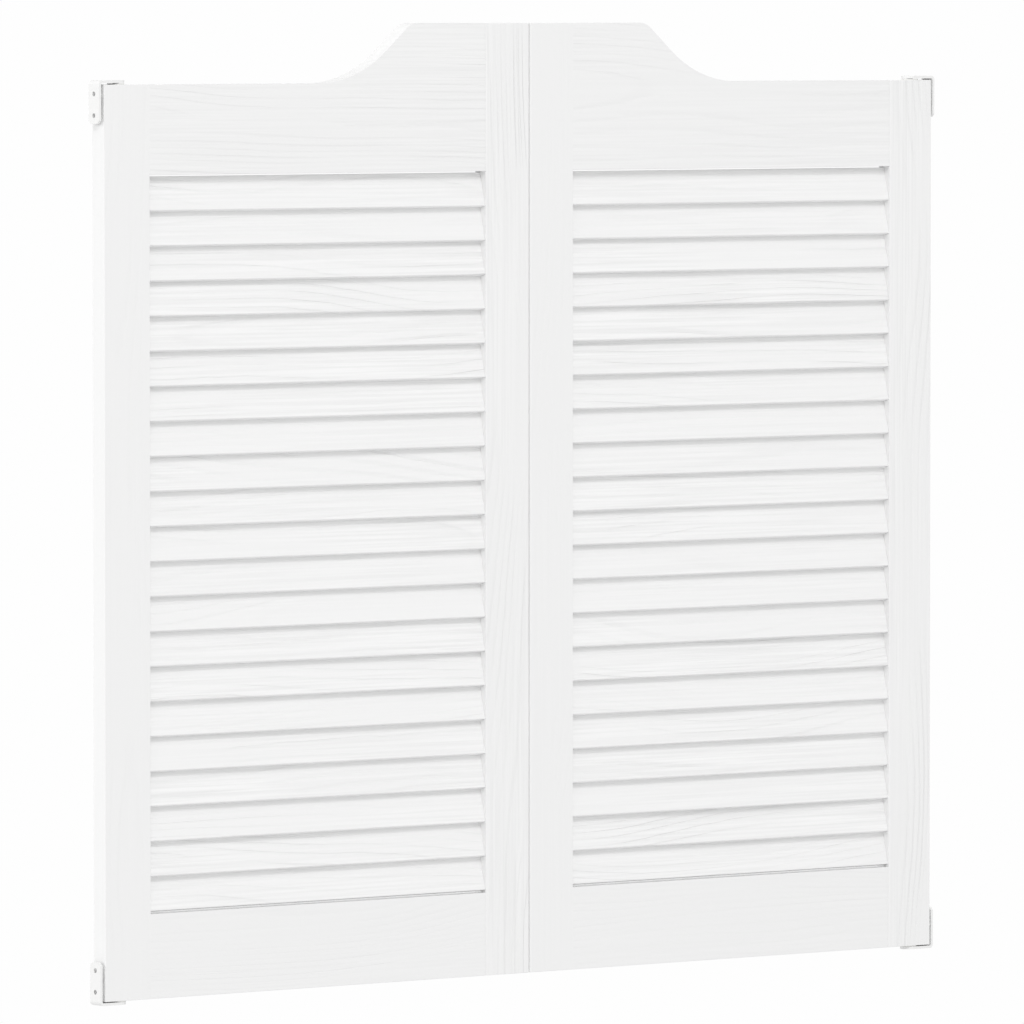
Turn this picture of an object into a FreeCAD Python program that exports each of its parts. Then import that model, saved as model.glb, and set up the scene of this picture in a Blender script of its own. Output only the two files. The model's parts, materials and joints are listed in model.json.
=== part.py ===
import FreeCAD, Part
import math
import os

from FreeCAD import Vector

# A pair of louvred cafe doors on concealed spring pivots, in millimetres, +Z up.
# X runs along the closed doors from the left jamb to the right one, and -Y is the front.
# The origin is on the left jamb's face, midway between the two screw holes of the lower bracket,
# in the plane that halves the doors' thickness.

# Leaves
leaf_width = 499.7
meeting_gap = 0.6
shoulder_height = 844.0
leaf_thickness = 18.0
eased_edge = 1.2
stile_width = 52.3
top_rail_height = 83.5
bottom_rail_height = 78.5

# Swept crest that lifts each leaf towards the meeting stiles
crest_rise = 56.0
crest_flat = 134.2
sweep_angle = 40.5
concave_radius = 122.0
convex_radius = 20.0

# Fixed louvre slats
slat_count = 21
slat_thickness = 7.0
slat_edge_radius = 8.2
slat_lap = 0.45
slat_face_gap = 0.8
slat_rail_gap = 1.3
slat_housing = 8.0
slot_clearance = 0.1
slot_end_clearance = 0.5

# Stub tenons of the rails
tenon_thickness = 6.0
tenon_inset = 12.0
tenon_clearance = 0.1
mortise_spare_depth = 1.0
mortise_housing_wall = 4.25

# Jamb brackets, bent from flat strip
jamb_gap = 5.0
pivot_backset = 20.0
bracket_width = 16.0
bracket_thickness = 2.5
bracket_plate_height = 40.0
bracket_bend_radius = 1.5
bracket_corner_chamfer = 3.0
bracket_screw_spacing = 20.0
bracket_screw_end = 7.5
screw_hole_diameter = 4.5
screw_head_diameter = 8.5

# Housings pressed into the ends of the hinge stiles
housing_diameter = 12.7
housing_wall = 0.95
housing_spare_depth = 2.0
rib_count = 3
rib_width = 1.2
rib_height = 0.35
press_clearance = 0.05
collar_rim = 1.65
collar_thickness = 1.0

# Upper pivot: a pin dropped through the bracket into a bush
top_pin_diameter = 6.0
top_pin_head_rim = 2.0
top_pin_head_height = 2.0
top_pin_engagement = 18.0
top_bush_length = 20.0
top_gap = 0.5
pin_hole_clearance = 0.1
running_clearance = 0.05

# Lower pivot: a keyed spindle in a spring barrel
thrust_clearance = 0.1
barrel_length = 32.0
barrel_end_thickness = 6.0
spindle_journal_length = 8.0
spindle_pilot_length = 4.0
spindle_pilot_end_clearance = 0.3
spindle_key_width = 5.6
key_clearance = 0.1

# Torsion spring wound from square wire
spring_wire = 1.4
spring_wall_gap = 0.3
spring_core_gap = 0.7
spring_coils = 6
spring_chords_per_coil = 10
spring_slot_clearance = 0.2
inner_tang_bite = 1.5
outer_tang_bite = 0.5

# Derived places
half_thickness = leaf_thickness / 2.0
leaf_left = jamb_gap
leaf_right = leaf_left + leaf_width
centre_x = leaf_right + meeting_gap / 2.0
pivot_x = leaf_left + pivot_backset
inner_left = leaf_left + stile_width
inner_right = leaf_right - stile_width

lower_ear_drop = collar_thickness + thrust_clearance + bracket_thickness
bracket_screw_centre = bracket_plate_height - bracket_screw_end - bracket_screw_spacing / 2.0
leaf_bottom = lower_ear_drop - bracket_screw_centre
shoulder_top = leaf_bottom + shoulder_height
crest_top = shoulder_top + crest_rise
bottom_rail_top = leaf_bottom + bottom_rail_height
top_rail_bottom = shoulder_top - top_rail_height
upper_ear_underside = shoulder_top + collar_thickness + top_gap
upper_ear_top = upper_ear_underside + bracket_thickness

housing_radius = housing_diameter / 2.0
rib_reach = housing_radius + rib_height
housing_bore_radius = rib_reach + press_clearance
collar_radius = housing_radius + collar_rim
top_pin_radius = top_pin_diameter / 2.0
top_pin_head_radius = top_pin_radius + top_pin_head_rim
cavity_radius = housing_radius - housing_wall
spring_radius = cavity_radius - spring_wall_gap - spring_wire / 2.0
core_radius = spring_radius - spring_wire / 2.0 - spring_core_gap
spindle_seat = leaf_bottom - collar_thickness - thrust_clearance
journal_top = spindle_seat + spindle_journal_length
cavity_top = leaf_bottom + barrel_length - barrel_end_thickness
pivot_axis_foot = Vector(pivot_x, 0, 0)
mortise_length = stile_width - pivot_backset - housing_bore_radius - mortise_housing_wall
tenon_length = mortise_length - mortise_spare_depth

spring_first_height = journal_top + spring_slot_clearance + spring_wire / 2.0
spring_last_height = cavity_top - spring_slot_clearance - spring_wire / 2.0
spring_pitch = (spring_last_height - spring_first_height) / spring_coils

# Slat pattern: equal pitches that fill the opening between the rails
slat_field = top_rail_bottom - bottom_rail_top - 2.0 * slat_rail_gap
slat_pitch = (slat_field - slat_lap) / slat_count
slat_height = slat_pitch + slat_lap
slat_bulge = slat_edge_radius - math.sqrt(slat_edge_radius ** 2 - (slat_thickness / 2.0) ** 2)

# Lean at which the faces of two neighbouring slats stand slat_face_gap apart
slat_tilt = math.asin((slat_thickness + slat_face_gap) / slat_pitch)
slat_width = (slat_height - 2.0 * slat_edge_radius) / math.cos(slat_tilt) + 2.0 * slat_edge_radius


def slat_centre_height(index):
    """Height of the middle of a slat, counted from the top."""
    first = top_rail_bottom - slat_rail_gap - slat_height / 2.0
    return first - index * slat_pitch


def box(x_range, y_range, z_range):
    corner = Vector(x_range[0], y_range[0], z_range[0])
    length = x_range[1] - x_range[0]
    depth = y_range[1] - y_range[0]
    height = z_range[1] - z_range[0]
    return Part.makeBox(length, depth, height, corner)


def upright_cylinder(radius, z_range):
    """Cylinder on the left leaf's pivot axis."""
    foot = pivot_axis_foot + Vector(0, 0, z_range[0])
    return Part.makeCylinder(radius, z_range[1] - z_range[0], foot)


def upright_cone(low_radius, high_radius, z_range):
    """Cone frustum on the left leaf's pivot axis."""
    foot = pivot_axis_foot + Vector(0, 0, z_range[0])
    return Part.makeCone(low_radius, high_radius, z_range[1] - z_range[0], foot)


def mirrored(shape):
    """The right-hand twin of a left-hand piece."""
    return shape.mirror(Vector(centre_x, 0, 0), Vector(1, 0, 0))


def lies_along(edge, direction):
    return abs(edge.tangentAt(edge.FirstParameter).dot(direction)) > 0.999


def straight_edges(shape, direction):
    lines = [e for e in shape.Edges if isinstance(e.Curve, Part.Line)]
    return [e for e in lines if lies_along(e, direction)]


def stile(x_range, z_range, outer_x):
    """A stile blank, eased on every edge but the two that butt against the rails' ends."""
    blank = box(x_range, (-half_thickness, half_thickness), z_range)
    upright = straight_edges(blank, Vector(0, 0, 1))
    along = straight_edges(blank, Vector(1, 0, 0))
    across = straight_edges(blank, Vector(0, 1, 0))
    outer = [e for e in across if abs(e.CenterOfMass.x - outer_x) < eased_edge]
    return blank.makeChamfer(eased_edge, upright + along + outer)


slat_up = Vector(0, math.sin(slat_tilt), math.cos(slat_tilt))
slat_back = Vector(0, math.cos(slat_tilt), -math.sin(slat_tilt))


def slat_section():
    """Face of a slat in the plane x = 0, leaning back, with both edges rounded."""
    half = slat_thickness / 2.0
    flat_end = slat_width / 2.0 - slat_bulge
    upper_front = slat_up * flat_end - slat_back * half
    upper_back = slat_up * flat_end + slat_back * half
    lower_front = slat_up * -flat_end - slat_back * half
    lower_back = slat_up * -flat_end + slat_back * half
    crown = slat_up * (slat_width / 2.0)
    outline = [
        Part.Arc(upper_front, crown, upper_back).toShape(),
        Part.makeLine(upper_back, lower_back),
        Part.Arc(lower_back, crown * -1.0, lower_front).toShape(),
        Part.makeLine(lower_front, upper_front),
    ]
    return Part.Face(Part.Wire(outline))


def slot_section():
    """Face of a stile's slot: the slat's outline with clearance, its rounded edges cut as flats."""
    half = slat_thickness / 2.0 + slot_clearance
    flat_end = slat_width / 2.0 - slat_bulge
    tip = slat_width / 2.0 + slot_clearance
    tip_half = half - (tip - flat_end)
    upper = [
        slat_up * flat_end - slat_back * half,
        slat_up * tip - slat_back * tip_half,
        slat_up * tip + slat_back * tip_half,
        slat_up * flat_end + slat_back * half,
    ]
    lower = [corner * -1.0 for corner in upper]
    return Part.Face(Part.makePolygon(upper + lower + upper[:1]))


def bars_across(section, overrun):
    """One bar of the section for each slat, running past the visible opening by overrun each way."""
    bars = []
    for index in range(slat_count):
        bar = section.extrude(Vector(inner_right - inner_left + 2.0 * overrun, 0, 0))
        bar.translate(Vector(inner_left - overrun, 0, slat_centre_height(index)))
        bars.append(bar)
    return bars


def slats():
    return bars_across(slat_section(), slat_housing)


def slot_cutters():
    return bars_across(slot_section(), slat_housing + slot_end_clearance)


def tenon(x_range, z_range, grow):
    """Tenon between two heights, or its mortise when grown by the clearance."""
    half = tenon_thickness / 2.0 + grow
    return box(x_range, (-half, half), (z_range[0] - grow, z_range[1] + grow))


bottom_tenon_heights = (leaf_bottom + tenon_inset, bottom_rail_top - tenon_inset)
top_tenon_heights_hinge = (top_rail_bottom + tenon_inset, shoulder_top - tenon_inset)
top_tenon_heights_meeting = (top_rail_bottom + tenon_inset, crest_top - tenon_inset)


def left_tenon_span(length):
    """Span of a tenon or mortise that goes into the hinge stile."""
    return (inner_left - length, inner_left)


def right_tenon_span(length):
    """Span of a tenon or mortise that goes into the meeting stile."""
    return (inner_right, inner_right + length)


def mortises_in_hinge_stile():
    span = left_tenon_span(mortise_length)
    heights = (bottom_tenon_heights, top_tenon_heights_hinge)
    return [tenon(span, z, tenon_clearance) for z in heights]


def mortises_in_meeting_stile():
    span = right_tenon_span(mortise_length)
    heights = (bottom_tenon_heights, top_tenon_heights_meeting)
    return [tenon(span, z, tenon_clearance) for z in heights]


def housing_bores():
    lower_top = leaf_bottom + barrel_length + housing_spare_depth
    upper_bottom = shoulder_top - top_bush_length - housing_spare_depth
    lower = upright_cylinder(housing_bore_radius, (leaf_bottom, lower_top))
    upper = upright_cylinder(housing_bore_radius, (upper_bottom, shoulder_top))
    return [lower, upper]


def hinge_stile():
    blank = stile((leaf_left, inner_left), (leaf_bottom, shoulder_top), leaf_left)
    return blank.cut(slot_cutters() + mortises_in_hinge_stile() + housing_bores())


def meeting_stile():
    blank = stile((inner_right, leaf_right), (leaf_bottom, crest_top), leaf_right)
    return blank.cut(slot_cutters() + mortises_in_meeting_stile())


def crest_outline():
    """Upper edge of the top rail from the hinge stile to the meeting stile, as tangent edges."""
    angle = math.radians(sweep_angle)
    half_angle = angle / 2.0
    arcs_rise = (concave_radius + convex_radius) * (1.0 - math.cos(angle))
    ramp = (crest_rise - arcs_rise) / math.sin(angle)
    flat_start = Vector(leaf_right - crest_flat, -half_thickness, crest_top)

    convex_centre = flat_start + Vector(0, 0, -convex_radius)
    convex_middle = convex_centre + Vector(-math.sin(half_angle), 0, math.cos(half_angle)) * convex_radius
    ramp_top = convex_centre + Vector(-math.sin(angle), 0, math.cos(angle)) * convex_radius

    ramp_foot = ramp_top + Vector(-math.cos(angle), 0, -math.sin(angle)) * ramp
    concave_centre = ramp_foot + Vector(-math.sin(angle), 0, math.cos(angle)) * concave_radius
    concave_middle = concave_centre + Vector(math.sin(half_angle), 0, -math.cos(half_angle)) * concave_radius
    shoulder_end = concave_centre + Vector(0, 0, -concave_radius)

    shoulder_start = Vector(inner_left, -half_thickness, shoulder_top)
    flat_end = Vector(inner_right, -half_thickness, crest_top)
    return [
        Part.makeLine(shoulder_start, shoulder_end),
        Part.Arc(shoulder_end, concave_middle, ramp_foot).toShape(),
        Part.makeLine(ramp_foot, ramp_top),
        Part.Arc(ramp_top, convex_middle, flat_start).toShape(),
        Part.makeLine(flat_start, flat_end),
    ]


def top_rail():
    """Top rail with its swept crest, eased along the crest and the lower edge."""
    crest = crest_outline()
    crest_start = Vector(inner_left, -half_thickness, shoulder_top)
    crest_end = Vector(inner_right, -half_thickness, crest_top)
    low_start = Vector(inner_left, -half_thickness, top_rail_bottom)
    low_end = Vector(inner_right, -half_thickness, top_rail_bottom)
    rest = [
        Part.makeLine(crest_end, low_end),
        Part.makeLine(low_end, low_start),
        Part.makeLine(low_start, crest_start),
    ]
    blank = Part.Face(Part.Wire(crest + rest)).extrude(Vector(0, leaf_thickness, 0))
    ends = straight_edges(blank, Vector(0, 0, 1)) + straight_edges(blank, Vector(0, 1, 0))
    eased = [e for e in blank.Edges if not any(e.isSame(other) for other in ends)]
    rail = blank.makeChamfer(eased_edge, eased)
    hinge_tenon = tenon(left_tenon_span(tenon_length), top_tenon_heights_hinge, 0.0)
    meeting_tenon = tenon(right_tenon_span(tenon_length), top_tenon_heights_meeting, 0.0)
    return rail.fuse([hinge_tenon, meeting_tenon]).removeSplitter()


def bottom_rail():
    blank = box(
        (inner_left, inner_right),
        (-half_thickness, half_thickness),
        (leaf_bottom, bottom_rail_top),
    )
    rail = blank.makeChamfer(eased_edge, straight_edges(blank, Vector(1, 0, 0)))
    hinge_tenon = tenon(left_tenon_span(tenon_length), bottom_tenon_heights, 0.0)
    meeting_tenon = tenon(right_tenon_span(tenon_length), bottom_tenon_heights, 0.0)
    return rail.fuse([hinge_tenon, meeting_tenon]).removeSplitter()


def bracket_strip(ear_outer, direction):
    """Bent strip: a plate on the jamb and an ear that ends at the pivot axis.

    direction is +1 when the plate rises from the ear and -1 when it hangs from it.
    """
    outer_radius = bracket_bend_radius + bracket_thickness
    outer_sagitta = outer_radius - outer_radius * math.cos(math.pi / 4.0)
    inner_sagitta = outer_radius - bracket_bend_radius * math.cos(math.pi / 4.0)

    def point(x, along):
        return Vector(x, -bracket_width / 2.0, ear_outer + direction * along)

    plate_end_outer = point(0, bracket_plate_height)
    plate_end_inner = point(bracket_thickness, bracket_plate_height)
    outer_bend_start = point(0, outer_radius)
    outer_bend_end = point(outer_radius, 0)
    inner_bend_start = point(outer_radius, bracket_thickness)
    inner_bend_end = point(bracket_thickness, outer_radius)
    ear_end_outer = point(pivot_x, 0)
    ear_end_inner = point(pivot_x, bracket_thickness)
    outline = [
        Part.makeLine(plate_end_outer, outer_bend_start),
        Part.Arc(outer_bend_start, point(outer_sagitta, outer_sagitta), outer_bend_end).toShape(),
        Part.makeLine(outer_bend_end, ear_end_outer),
        Part.makeLine(ear_end_outer, ear_end_inner),
        Part.makeLine(ear_end_inner, inner_bend_start),
        Part.Arc(inner_bend_start, point(inner_sagitta, inner_sagitta), inner_bend_end).toShape(),
        Part.makeLine(inner_bend_end, plate_end_inner),
        Part.makeLine(plate_end_inner, plate_end_outer),
    ]
    return Part.Face(Part.Wire(outline)).extrude(Vector(0, bracket_width, 0))


def screw_hole(height):
    """Countersunk hole through the jamb plate, its head on the leaf's side."""
    hole_radius = screw_hole_diameter / 2.0
    head_radius = screw_head_diameter / 2.0
    sink_depth = head_radius - hole_radius
    into_leaf = Vector(1, 0, 0)
    hole = Part.makeCylinder(hole_radius, bracket_thickness, Vector(0, 0, height), into_leaf)
    sink_start = Vector(bracket_thickness - sink_depth, 0, height)
    sink = Part.makeCone(hole_radius, head_radius, sink_depth, sink_start, into_leaf)
    return hole.fuse(sink)


def bracket(ear_outer, direction):
    """Jamb bracket with a rounded ear, cut plate corners and two countersunk holes."""
    strip = bracket_strip(ear_outer, direction)
    plate_end = ear_outer + direction * bracket_plate_height
    corners = [
        e for e in straight_edges(strip, Vector(1, 0, 0))
        if abs(e.CenterOfMass.z - plate_end) < bracket_thickness
    ]
    strip = strip.makeChamfer(bracket_corner_chamfer, corners)
    ear_inner = ear_outer + direction * bracket_thickness
    ear_range = (min(ear_outer, ear_inner), max(ear_outer, ear_inner))
    ear_round = upright_cylinder(bracket_width / 2.0, ear_range)
    blank = strip.fuse(ear_round).removeSplitter()
    screws_at = ear_outer + direction * bracket_screw_centre
    offset = bracket_screw_spacing / 2.0
    return blank.cut([screw_hole(screws_at - offset), screw_hole(screws_at + offset)])


def square_bar(width, z_range):
    """Square prism on the left leaf's pivot axis."""
    half = width / 2.0
    return box((pivot_x - half, pivot_x + half), (-half, half), z_range)


def lower_bracket():
    ear_bottom = spindle_seat - bracket_thickness
    key_hole = square_bar(spindle_key_width + 2.0 * key_clearance, (ear_bottom, spindle_seat))
    return bracket(ear_bottom, 1.0).cut(key_hole)


def upper_bracket():
    hole_radius = top_pin_radius + pin_hole_clearance
    seat_radius = top_pin_head_radius + pin_hole_clearance
    seat_bottom = upper_ear_top - top_pin_head_height
    hole = upright_cylinder(hole_radius, (upper_ear_underside, upper_ear_top))
    seat = upright_cone(hole_radius, seat_radius, (seat_bottom, upper_ear_top))
    return bracket(upper_ear_top, -1.0).cut([hole, seat])


def top_pin():
    """Plain pin with a countersunk head that lies flush in the ear."""
    head_bottom = upper_ear_top - top_pin_head_height
    head = upright_cone(top_pin_radius, top_pin_head_radius, (head_bottom, upper_ear_top))
    shank = upright_cylinder(top_pin_radius, (shoulder_top - top_pin_engagement, head_bottom))
    return head.fuse(shank).removeSplitter()


def press_ribs(z_range):
    """Ribs along a housing that stop it from turning in its bore."""
    ribs = []
    for i in range(rib_count):
        rib = box((pivot_x, pivot_x + rib_reach), (-rib_width / 2.0, rib_width / 2.0), z_range)
        rib.rotate(pivot_axis_foot, Vector(0, 0, 1), (i + 0.5) * 360.0 / rib_count)
        ribs.append(rib)
    return ribs


def top_bush():
    """Ribbed bush with a collar on the upper end of the hinge stile."""
    bush_bottom = shoulder_top - top_bush_length
    collar_top = shoulder_top + collar_thickness
    body = upright_cylinder(housing_radius, (bush_bottom, shoulder_top))
    collar = upright_cylinder(collar_radius, (shoulder_top, collar_top))
    bore = upright_cylinder(top_pin_radius + running_clearance, (bush_bottom, collar_top))
    blank = body.fuse([collar] + press_ribs((bush_bottom, shoulder_top)))
    return blank.cut(bore).removeSplitter()


def spring_barrel():
    """Ribbed barrel, closed above, that holds the spring and turns on the spindle."""
    barrel_top = leaf_bottom + barrel_length
    collar_bottom = leaf_bottom - collar_thickness
    body = upright_cylinder(housing_radius, (leaf_bottom, barrel_top))
    collar = upright_cylinder(collar_radius, (collar_bottom, leaf_bottom))
    cavity = upright_cylinder(cavity_radius, (collar_bottom, cavity_top))
    pilot_top = cavity_top + spindle_pilot_length
    pilot = upright_cylinder(core_radius + running_clearance, (cavity_top, pilot_top))
    blank = body.fuse([collar] + press_ribs((leaf_bottom, barrel_top)))
    return blank.cut([cavity, pilot, outer_tang(spring_slot_clearance)]).removeSplitter()


def spindle():
    """Spindle with a square key below, a journal in the barrel's mouth and a core in the spring."""
    journal_radius = cavity_radius - running_clearance
    core_top = cavity_top + spindle_pilot_length - spindle_pilot_end_clearance
    key = square_bar(spindle_key_width, (spindle_seat - bracket_thickness, spindle_seat))
    journal = upright_cylinder(journal_radius, (spindle_seat, journal_top))
    core = upright_cylinder(core_radius, (journal_top, core_top))
    return key.fuse([journal, core]).cut(inner_tang(spring_slot_clearance)).removeSplitter()


def tang(radii, centre_height, grow):
    """Straight end of the spring's wire between two radii, or its slot when grown."""
    half = spring_wire / 2.0 + grow
    heights = (centre_height - half, centre_height + half)
    return box((pivot_x + radii[0] - grow, pivot_x + radii[1] + grow), (-half, half), heights)


def inner_tang(grow):
    """Lower end of the spring, bent in to the core."""
    return tang((core_radius - inner_tang_bite, spring_radius), spring_first_height, grow)


def outer_tang(grow):
    """Upper end of the spring, bent out into the barrel's wall."""
    return tang((spring_radius, cavity_radius + outer_tang_bite), spring_last_height, grow)


def wire_corners(station):
    """Corners of the wire's square section at one station along its coils."""
    angle = 2.0 * math.pi * station / spring_chords_per_coil
    height = spring_first_height + spring_pitch * station / spring_chords_per_coil
    outward = Vector(math.cos(angle), math.sin(angle), 0)
    centre = pivot_axis_foot + outward * spring_radius + Vector(0, 0, height)
    side = outward * (spring_wire / 2.0)
    up = Vector(0, 0, spring_wire / 2.0)
    return [centre - side - up, centre + side - up, centre + side + up, centre - side + up]


def flat_face(corners):
    return Part.Face(Part.makePolygon(corners + corners[:1]))


def return_spring():
    """Square wire wound round the core in short chords, with both ends bent into their slots."""
    stations = [wire_corners(i) for i in range(spring_coils * spring_chords_per_coil + 1)]
    faces = [flat_face(stations[0]), flat_face(stations[-1])]
    for here, ahead in zip(stations, stations[1:]):
        for i in range(len(here)):
            j = (i + 1) % len(here)
            faces.append(flat_face([here[i], here[j], ahead[j]]))
            faces.append(flat_face([here[i], ahead[j], ahead[i]]))
    coils = Part.makeSolid(Part.makeShell(faces))
    return coils.fuse([inner_tang(0.0), outer_tang(0.0)]).removeSplitter()


def write(name, shapes):
    """One file per node; several separate solids travel as a compound."""
    shape = shapes[0] if len(shapes) == 1 else Part.makeCompound(shapes)
    shape.exportStep(os.path.join("parts", name + ".step"))


def write_leaf_pieces(name, shapes):
    """Pieces of the left leaf and their twins of the right leaf."""
    write("left_" + name, shapes)
    write("right_" + name, [mirrored(shape) for shape in shapes])


def main():
    os.makedirs("parts", exist_ok=True)
    write_leaf_pieces("hinge_stile", [hinge_stile()])
    write_leaf_pieces("meeting_stile", [meeting_stile()])
    write_leaf_pieces("top_rail", [top_rail()])
    write_leaf_pieces("bottom_rail", [bottom_rail()])
    for number, slat in enumerate(slats(), start=1):
        write_leaf_pieces("slat_%02d" % number, [slat])
    write_leaf_pieces("pivot_housings", [top_bush(), spring_barrel()])
    write_leaf_pieces("return_spring", [return_spring()])
    for name, shape in (
        ("upper_brackets", upper_bracket()),
        ("lower_brackets", lower_bracket()),
        ("top_pivot_pins", top_pin()),
        ("bottom_spindles", spindle()),
    ):
        write(name, [shape, mirrored(shape)])


main()
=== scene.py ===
"""Louvred cafe doors: two painted leaves that swing both ways on concealed spring pivots.

Lengths are in metres.
"""

import json
import logging
import math
import random
from dataclasses import dataclass, field
from enum import Enum
from typing import Any, Callable, Sequence

import bmesh
import bpy
from mathutils import Matrix, Vector


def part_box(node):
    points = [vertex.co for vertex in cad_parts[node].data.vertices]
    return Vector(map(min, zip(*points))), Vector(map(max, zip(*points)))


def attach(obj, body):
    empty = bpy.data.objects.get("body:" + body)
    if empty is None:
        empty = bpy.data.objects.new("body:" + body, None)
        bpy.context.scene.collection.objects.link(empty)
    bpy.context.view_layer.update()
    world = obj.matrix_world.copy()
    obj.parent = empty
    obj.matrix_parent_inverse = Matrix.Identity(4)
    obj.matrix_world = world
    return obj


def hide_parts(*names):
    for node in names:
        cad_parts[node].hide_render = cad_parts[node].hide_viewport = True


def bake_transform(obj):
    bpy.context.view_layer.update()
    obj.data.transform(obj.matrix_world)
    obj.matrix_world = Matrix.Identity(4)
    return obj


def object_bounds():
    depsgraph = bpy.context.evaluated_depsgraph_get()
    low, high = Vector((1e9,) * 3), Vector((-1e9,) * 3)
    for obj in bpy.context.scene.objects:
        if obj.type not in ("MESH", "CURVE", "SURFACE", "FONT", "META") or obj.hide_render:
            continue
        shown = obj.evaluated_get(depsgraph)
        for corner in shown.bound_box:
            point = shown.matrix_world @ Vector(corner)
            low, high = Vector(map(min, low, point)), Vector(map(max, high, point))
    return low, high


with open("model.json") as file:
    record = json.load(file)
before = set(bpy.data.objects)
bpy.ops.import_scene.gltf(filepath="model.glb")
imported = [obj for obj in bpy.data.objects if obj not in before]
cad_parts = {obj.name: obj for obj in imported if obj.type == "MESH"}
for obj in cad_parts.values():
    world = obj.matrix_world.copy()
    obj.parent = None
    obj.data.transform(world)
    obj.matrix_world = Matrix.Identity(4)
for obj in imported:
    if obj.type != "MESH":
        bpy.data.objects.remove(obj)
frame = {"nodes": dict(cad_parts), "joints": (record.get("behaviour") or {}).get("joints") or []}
CAD_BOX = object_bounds()

logging.basicConfig(level=logging.INFO, format="%(message)s")
log = logging.getLogger("cafe_doors")

Socket = bpy.types.NodeSocket
Material = bpy.types.Material
Piece = bpy.types.Object
Work = bmesh.types.BMesh
Edge = bmesh.types.BMEdge
Pair = tuple[float, float]
Triple = tuple[float, float, float]

MM = 0.001
TOUCH = 1e-6
GRAIN_SHIFT = "grain_shift"
GRAIN_STRENGTH = "grain_strength"
SMOOTH_ANGLE = math.radians(35.0)
SHARP_ANGLE = 0.6
PARALLEL = 0.999
CUT_REACH = 1e-7
EASE_STEPS = 5
WHITE = (1.0, 1.0, 1.0, 1.0)
SOCKET_KINDS = {"int": "Int", "float": "Float", "tuple": "Vector", "Material": "Material"}


class Side(Enum):
    """The two leaves, named as seen from the front."""

    LEFT = "left"
    RIGHT = "right"


class Grain(Enum):
    """The way in which the wood's grain runs."""

    LEVEL = "level"
    UPRIGHT = "upright"


BOARD_SEEDS = {Side.LEFT: 29, Side.RIGHT: 41}
BOARD_STRENGTHS = {
    "left_hinge_stile": 0.4, "left_meeting_stile": 1.3, "left_top_rail": 1.1, "left_bottom_rail": 0.5,
    "right_hinge_stile": 1.6, "right_meeting_stile": 0.3, "right_top_rail": 1.2, "right_bottom_rail": 0.5,
}


# ---- node trees


class Graph:
    """A node tree with short calls to add nodes, link sockets and do sums."""

    def __init__(self, tree: bpy.types.NodeTree) -> None:
        """Wraps the tree that the calls add to."""
        self.tree = tree

    def add(self, kind: str, inputs: dict[Any, Any] | None = None, **settings: Any) -> bpy.types.Node:
        """Adds one node.

        Args:
            kind: The node's type name.
            inputs: Values or source sockets by input name or number.
            settings: Properties of the node.

        Returns:
            The new node.
        """
        node = self.tree.nodes.new(kind)
        for name, value in settings.items():
            setattr(node, name, value)
        for key, value in (inputs or {}).items():
            self.put(node.inputs[key], value)
        return node

    def put(self, target: Socket, value: Any) -> None:
        """Fills an input.

        Args:
            target: The input's socket.
            value: The socket to link to it, or its value.
        """
        if isinstance(value, Socket):
            self.tree.links.new(value, target)
        else:
            target.default_value = value

    def math(self, operation: str, a: Any, b: Any = 0.0, c: Any = 0.0) -> Socket:
        """A sum on numbers, and the socket of its result."""
        return self.add("ShaderNodeMath", {0: a, 1: b, 2: c}, operation=operation).outputs[0]

    def vector(self, x: Any, y: Any, z: Any) -> Socket:
        """A vector from three numbers or sockets."""
        return self.add("ShaderNodeCombineXYZ", {0: x, 1: y, 2: z}).outputs[0]

    def spot(self, place: Any, pace: Triple, shift: Triple = (0.0, 0.0, 0.0)) -> Socket:
        """A place whose parts are multiplied by a pace and then shifted."""
        parts = {0: place, 1: pace, 2: shift}
        return self.add("ShaderNodeVectorMath", parts, operation="MULTIPLY_ADD").outputs[0]

    def tint(self, colour: Triple, shade: Any) -> Socket:
        """A colour multiplied by a shade."""
        return self.add("ShaderNodeVectorMath", {0: colour, "Scale": shade}, operation="SCALE").outputs[0]

    def noise(self, at: Any, scale: float, detail: float = 2.0) -> Socket:
        """Smooth noise from 0 to 1 at a place."""
        node = self.add("ShaderNodeTexNoise", {"Vector": at, "Scale": scale, "Detail": detail})
        return node.outputs["Factor" if "Factor" in node.outputs else "Fac"]

    def spread(
        self, value: Any, low: float, high: float, to_low: float = 0.0, to_high: float = 1.0,
    ) -> Socket:
        """A value eased from one range to another and held at its ends."""
        inputs = {"Value": value, "From Min": low, "From Max": high, "To Min": to_low, "To Max": to_high}
        return self.add("ShaderNodeMapRange", inputs, interpolation_type="SMOOTHSTEP").outputs["Result"]

    def relief(self, shader: bpy.types.Node, height: Socket, depth: float) -> None:
        """Gives a shader fine relief of that depth."""
        bump = self.add("ShaderNodeBump", {"Height": height, "Distance": depth, "Strength": 1.0})
        self.put(shader.inputs["Normal"], bump.outputs["Normal"])


def new_material(name: str) -> tuple[Material, Graph, bpy.types.Node]:
    """A material with its graph and its shader.

    Args:
        name: The material's name.

    Returns:
        The material, the graph of its nodes and its Principled BSDF.
    """
    material = bpy.data.materials.new(name)
    material.use_nodes = True
    return material, Graph(material.node_tree), material.node_tree.nodes["Principled BSDF"]


# ---- finishes


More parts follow.
